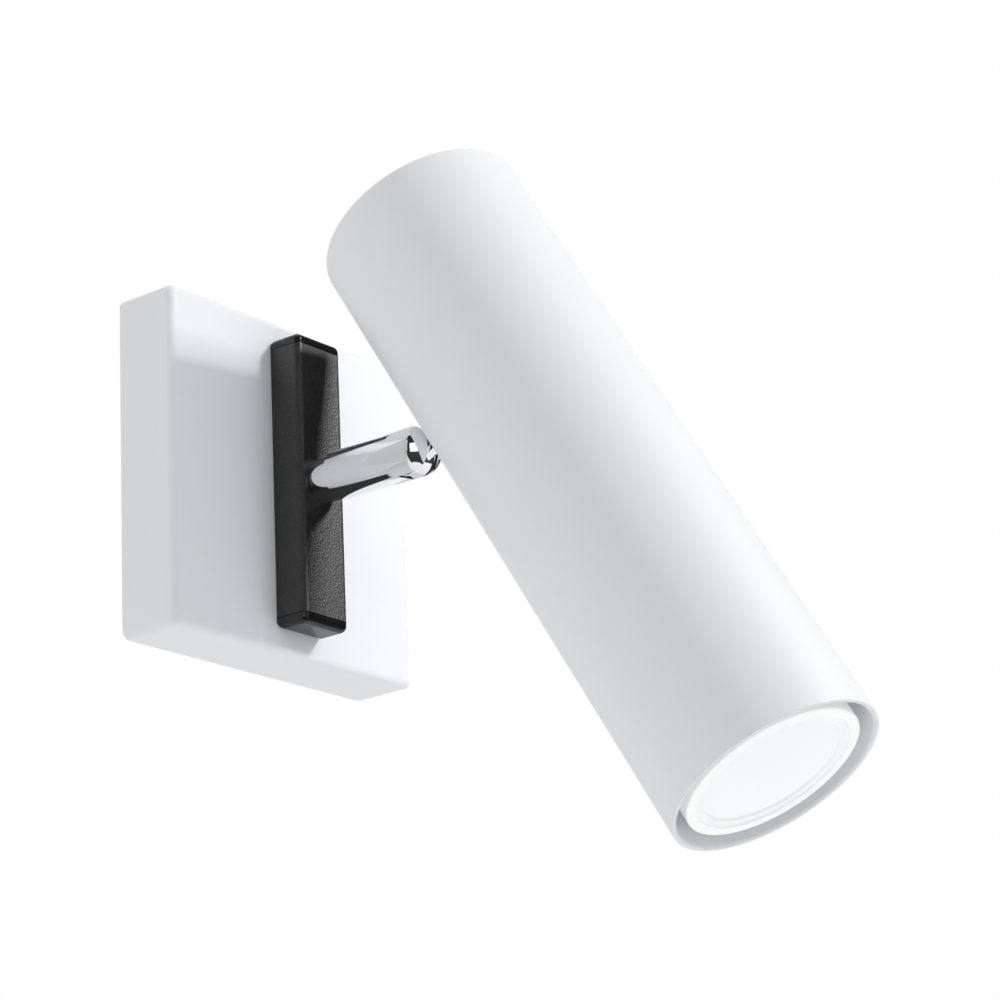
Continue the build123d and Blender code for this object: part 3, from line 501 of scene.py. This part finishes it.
def frosted_lens(name, settings):
    """Frosted front with a painted glow that whitens it, a little less towards its edge, which
    paints shade there.
    """
    material, tree, surface = blank_material(name, settings.lens_colour, 0.4)
    point, along = tube_axis()
    rings = place_group(tree, shared_group("lamp_axis", axis_distance_group, "lamp_axis",
                                           point, along), Unit=MM)
    # the glow fades from the middle to the edge: painted shade at the lens's edge
    painted_edge_shade = tree.nodes.new("ShaderNodeMapRange")
    tree.links.new(rings.outputs["Radius"], painted_edge_shade.inputs["Value"])
    painted_edge_shade.inputs["From Min"].default_value = LENS_CLEAR
    painted_edge_shade.inputs["From Max"].default_value = LENS_EDGE
    painted_edge_shade.inputs["To Min"].default_value = 1.0
    painted_edge_shade.inputs["To Max"].default_value = EDGE_GLOW
    light = tree.nodes.new("ShaderNodeCombineColor")
    for channel in range(3):
        tree.links.new(painted_edge_shade.outputs["Result"], light.inputs[channel])
    tree.links.new(light.outputs["Color"], surface.inputs["Emission Color"])
    # painted glow: whitens the lens beyond the light that reaches it
    surface.inputs["Emission Strength"].default_value = settings.painted_lamp_glow
    bump(tree, surface, grain_in(tree, 0.0003, 0.01).outputs["Height"], FINE_RELIEF)
    return material


def dress(material, *names):
    """Gives CAD nodes their finish."""
    for name in names:
        slots = NODES[name].data.materials
        slots.clear()
        slots.append(material)


# ---------------------------------------------------------------- pieces
def tube_axis():
    """A point on the tube's axis and the direction to its mouth, from the lamp's pieces."""
    axis = Vector(JOINTS["head_tilt"]["axis"])
    low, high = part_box("lamp_rim")
    back_low, back_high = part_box("lamp_pins")
    front, back = (low + high) / 2, (back_low + back_high) / 2
    along = (front - back).normalized()
    along = (along - axis * along.dot(axis)).normalized()
    return front, along


class SPOT_OT_plate(Operator):
    """Paint the wall plate and finish its catch and screw"""
    bl_idname = "wall_spot.plate"
    bl_label = "Wall plate"

    def execute(self, context):
        paint, metal = context.scene.spot_paint, context.scene.spot_metal
        lacquer = painted("plate_lacquer", tuple(paint.plate_colour), paint.plate_roughness,
                          0.0035, FINE_RELIEF)
        surface_of(lacquer).inputs["Specular IOR Level"].default_value = paint.plate_gloss
        dress(lacquer, "canopy")
        dress(sheet_metal("zinc_steel", tuple(metal.zinc_colour)),
              "canopy_catch", "canopy_screw", "wall_bracket", "tab_nut")
        return {"FINISHED"}


class SPOT_OT_bar(Operator):
    """Coat the upright bar and finish its caps, screws and sleeve"""
    bl_idname = "wall_spot.bar"
    bl_label = "Bar"

    def execute(self, context):
        bar, metal = context.scene.spot_bar, context.scene.spot_metal
        dress(powder_black("bar_powder_coat", bar), "bar_body")
        dress(gloss_plastic("cap_gloss_black", tuple(bar.cap_colour)),
              "bar_cap_top", "bar_cap_bottom")
        dress(bpy.data.materials["zinc_steel"], "bar_screws")
        dress(sheet_metal("turned_aluminium", tuple(metal.aluminium_colour), 0.3), "bar_spacer")
        return {"FINISHED"}


class SPOT_OT_arm(Operator):
    """Plate the post, arm, knuckle and their screws"""
    bl_idname = "wall_spot.arm"
    bl_label = "Arm and knuckle"

    def execute(self, context):
        chrome = polished_chrome("arm_chrome", context.scene.spot_metal)
        dress(chrome, "swivel_post", "arm_barrel", "knuckle", "pivot_screw", "stop_screw")
        dress(bpy.data.materials["zinc_steel"], "post_washer", "post_nut", "knuckle_nut")
        dark = matte_plastic("dark_nylon", tuple(context.scene.spot_lamp.dark_plastic_colour))
        dress(dark, "friction_discs", "clamp_saddle")
        return {"FINISHED"}


class SPOT_OT_tube(Operator):
    """Powder coat the tube and finish its rear cap"""
    bl_idname = "wall_spot.tube"
    bl_label = "Tube"

    def execute(self, context):
        paint, lamp = context.scene.spot_paint, context.scene.spot_lamp
        dress(painted("tube_powder_coat", tuple(paint.tube_colour), paint.tube_roughness,
                      paint.tube_grain, FIRM_RELIEF), "lamp_tube")
        dress(matte_plastic("rear_cap_plastic", tuple(lamp.plastic_colour), 0.45), "rear_cap")
        return {"FINISHED"}


class SPOT_OT_lamp(Operator):
    """Finish the lamp, its holder and the holder's bracket"""
    bl_idname = "wall_spot.lamp"
    bl_label = "Lamp and holder"

    def execute(self, context):
        lamp = context.scene.spot_lamp
        ring = gloss_plastic("lamp_ring_white", tuple(lamp.rim_colour), 0.28)
        # painted glow: the lamp's plastic ring gives no light of its own; this whitens it beyond
        # the light that reaches it
        glow(surface_of(ring), lamp.painted_lamp_glow)
        dress(ring, "lamp_rim", "lamp_body")
        dress(frosted_lens("lamp_lens_frosted", lamp), "lamp_lens")
        dress(glazed_ceramic("holder_steatite", tuple(lamp.ceramic_colour)), "lampholder")
        dress(bpy.data.materials["zinc_steel"], "lamp_pins", "holder_bracket", "holder_screws")
        return {"FINISHED"}


class SPOT_OT_wiring(Operator):
    """Finish the terminals, earth fittings and inner leads"""
    bl_idname = "wall_spot.wiring"
    bl_label = "Terminals and leads"

    def execute(self, context):
        lamp, metal = context.scene.spot_lamp, context.scene.spot_metal
        dress(matte_plastic("terminal_plastic", tuple(lamp.plastic_colour), 0.4),
              "terminal_block")
        dress(bpy.data.materials["zinc_steel"], "terminal_screws", "terminal_fixings")
        dress(sheet_metal("earth_brass", tuple(metal.brass_colour), 0.28),
              "earth_lug", "earth_screw")
        dress(lead_sheath("sheath_brown", (0.16, 0.07, 0.035)), "lead_live")
        dress(lead_sheath("sheath_blue", (0.03, 0.12, 0.42)), "lead_neutral")
        dress(lead_sheath("sheath_earth", (0.06, 0.3, 0.08), (0.72, 0.62, 0.05)), "lead_earth")
        dress(lead_sheath("sheath_silicone", (0.72, 0.71, 0.67)), "head_leads")
        return {"FINISHED"}


# ---------------------------------------------------------------- stage
def area_light(name, power, size, place):
    """A soft box aimed at the object, which the camera doesn't see."""
    data = bpy.data.lights.new(name, "AREA")
    data.shape = "RECTANGLE"
    data.size, data.size_y = size
    data.energy = power
    lamp = bpy.data.objects.new(name, data)
    lamp.location = place
    lamp.rotation_euler = (Vector(AIM) - Vector(place)).to_track_quat("-Z", "Y").to_euler()
    lamp.visible_camera = False
    bpy.context.scene.collection.objects.link(lamp)
    return lamp


def flag(name, corners, faces, colour, lights=False):
    """A sheet of the studio for reflections; it also shades soft light where lights is set."""
    mesh = bpy.data.meshes.new(name)
    mesh.from_pydata(corners, [], faces)
    sheet = bpy.data.objects.new(name, mesh)
    bpy.context.scene.collection.objects.link(sheet)
    mesh.materials.append(blank_material(name + "_paint", colour, 1.0)[0])
    sheet.visible_camera = False
    sheet.visible_shadow = False
    sheet.visible_diffuse = lights
    return sheet


def round_flag(name, start, end, inner, outer, colour):
    """A curved sheet round the object between two bearings; edges as radius and height."""
    steps = 24
    corners = []
    for step in range(steps + 1):
        bearing = radians(start + (end - start) * step / steps)
        for radius, height in (inner, outer):
            corners.append((radius * sin(bearing), -radius * cos(bearing), height))
    faces = [(2 * n, 2 * n + 2, 2 * n + 3, 2 * n + 1) for n in range(steps)]
    return flag(name, corners, faces, colour)


def flat_flag(name, place, size, target, colour, lights=False):
    """A flat sheet that faces a point."""
    turn = (Vector(target) - Vector(place)).to_track_quat("Z", "Y")
    corners = [Vector(place) + turn @ Vector((x * size[0] / 2, y * size[1] / 2, 0.0))
               for x, y in ((-1, -1), (1, -1), (1, 1), (-1, 1))]
    return flag(name, corners, [(0, 1, 2, 3)], colour, lights)


def studio_world(fill):
    """White to the camera and in reflections, plain soft light on the object."""
    world = bpy.data.worlds.new("studio")
    bpy.context.scene.world = world
    world.use_nodes = True
    tree = world.node_tree
    tree.nodes.clear()
    path = tree.nodes.new("ShaderNodeLightPath")
    seen = maths(tree, "MAXIMUM", path.outputs["Is Camera Ray"],
                 maths(tree, "MAXIMUM", path.outputs["Is Glossy Ray"],
                       path.outputs["Is Transmission Ray"]))
    white, soft = (tree.nodes.new("ShaderNodeBackground") for _ in range(2))
    white.inputs["Strength"].default_value = 1.0
    soft.inputs["Strength"].default_value = fill
    for node in (white, soft):
        node.inputs["Color"].default_value = WHITE
    mix = tree.nodes.new("ShaderNodeMixShader")
    tree.links.new(seen, mix.inputs["Fac"])
    tree.links.new(soft.outputs[0], mix.inputs[1])
    tree.links.new(white.outputs[0], mix.inputs[2])
    out = tree.nodes.new("ShaderNodeOutputWorld")
    tree.links.new(mix.outputs[0], out.inputs["Surface"])


def studio_floor(studio):
    """A pale floor below the object."""
    mesh = bpy.data.meshes.new("floor")
    half = studio.floor_size / 2
    mesh.from_pydata([(-half, -half, 0), (half, -half, 0), (half, half, 0), (-half, half, 0)],
                     [], [(0, 1, 2, 3)])
    floor = bpy.data.objects.new("floor", mesh)
    floor.location = (0.0, 0.0, -studio.floor_drop)
    bpy.context.scene.collection.objects.link(floor)
    mesh.materials.append(blank_material("floor_paint", studio.floor_colour, 0.9)[0])


def studio_camera(studio):
    """The photograph's camera."""
    bearing, height, roll = (radians(v) for v in (studio.azimuth, studio.elevation, studio.roll))
    back = Vector((sin(bearing) * cos(height), -cos(bearing) * cos(height), sin(height)))
    right = (-back).cross(Vector((0.0, 0.0, 1.0))).normalized()
    up = right.cross(-back)
    turned_right = right * cos(roll) + up * sin(roll)
    turned_up = up * cos(roll) - right * sin(roll)
    data = bpy.data.cameras.new("photo_camera")
    data.lens = studio.lens
    data.sensor_width = 36.0
    data.clip_start, data.clip_end = 0.01, 50.0
    camera = bpy.data.objects.new("photo_camera", data)
    camera.matrix_world = Matrix.Translation(studio.camera_place) @ Matrix(
        (turned_right, turned_up, back)).transposed().to_4x4()
    bpy.context.scene.collection.objects.link(camera)
    bpy.context.scene.camera = camera


class SPOT_OT_stage(Operator):
    """Make the floor, the background, the lights and the camera"""
    bl_idname = "wall_spot.stage"
    bl_label = "Studio"

    def execute(self, context):
        studio = context.scene.spot_studio
        context.scene.view_settings.view_transform = "Standard"
        studio_world(studio.fill)
        area_light("key_light", studio.key_power, KEY_SIZE, KEY_PLACE)
        area_light("left_light", studio.side_power, SIDE_SIZE, SIDE_PLACE)
        area_light("low_light", studio.low_power, LOW_SIZE, LOW_PLACE)
        sheen = area_light("key_sheen", studio.sheen_power, KEY_SIZE, SHEEN_PLACE)
        sheen.visible_diffuse = False
        flat_flag("camera_side_shade", SHADE_PLACE, SHADE_SIZE, AIM, DARK_SHEET, True)
        round_flag("dark_room", ROOM_FROM, ROOM_TO, (ROOM_RADIUS, GROUND_HEIGHT),
                   (ROOM_RADIUS, ROOM_HEIGHT), DARK_SHEET)
        round_flag("dark_floor", ROOM_FROM, GROUND_TO, (GROUND_RADIUS, GROUND_HEIGHT),
                   (ROOM_RADIUS, GROUND_HEIGHT), DARK_SHEET)
        flat_flag("pale_wall", WALL_PLACE, WALL_SIZE, (0.0, -1.0, 0.0), PALE_SHEET)
        panel = flat_flag("front_panel", PANEL_PLACE, PANEL_SIZE, AIM, DARK_SHEET)
        glow(surface_of(panel.data.materials[0]), studio.front_glow)
        studio_floor(studio)
        studio_camera(studio)
        return {"FINISHED"}


OPERATORS = (SPOT_OT_plate, SPOT_OT_bar, SPOT_OT_arm, SPOT_OT_tube, SPOT_OT_lamp,
             SPOT_OT_wiring, SPOT_OT_stage)


class SPOT_PT_sidebar(Panel):
    """Pieces and studio of the wall light"""
    bl_idname = "SPOT_PT_sidebar"
    bl_label = "Wall spotlight"
    bl_space_type = "VIEW_3D"
    bl_region_type = "UI"
    bl_category = "Wall Spot"

    def draw(self, context):
        column = self.layout.column(align=True)
        for operator in OPERATORS:
            column.operator(operator.bl_idname)
        for attribute, settings in SETTINGS:
            box = self.layout.box()
            for label in settings.__annotations__:
                box.prop(getattr(context.scene, attribute), label)


CLASSES = tuple(settings for _, settings in SETTINGS) + OPERATORS + (SPOT_PT_sidebar,)


def register():
    for cls in CLASSES:
        bpy.utils.register_class(cls)
    for attribute, settings in SETTINGS:
        setattr(bpy.types.Scene, attribute, PointerProperty(type=settings))


def unregister():
    for attribute, _ in SETTINGS:
        delattr(bpy.types.Scene, attribute)
    for cls in reversed(CLASSES):
        bpy.utils.unregister_class(cls)


def main():
    register()
    for operator in OPERATORS:
        group, name = operator.bl_idname.split(".")
        getattr(getattr(bpy.ops, group), name)()


if __name__ == "__main__":
    main()
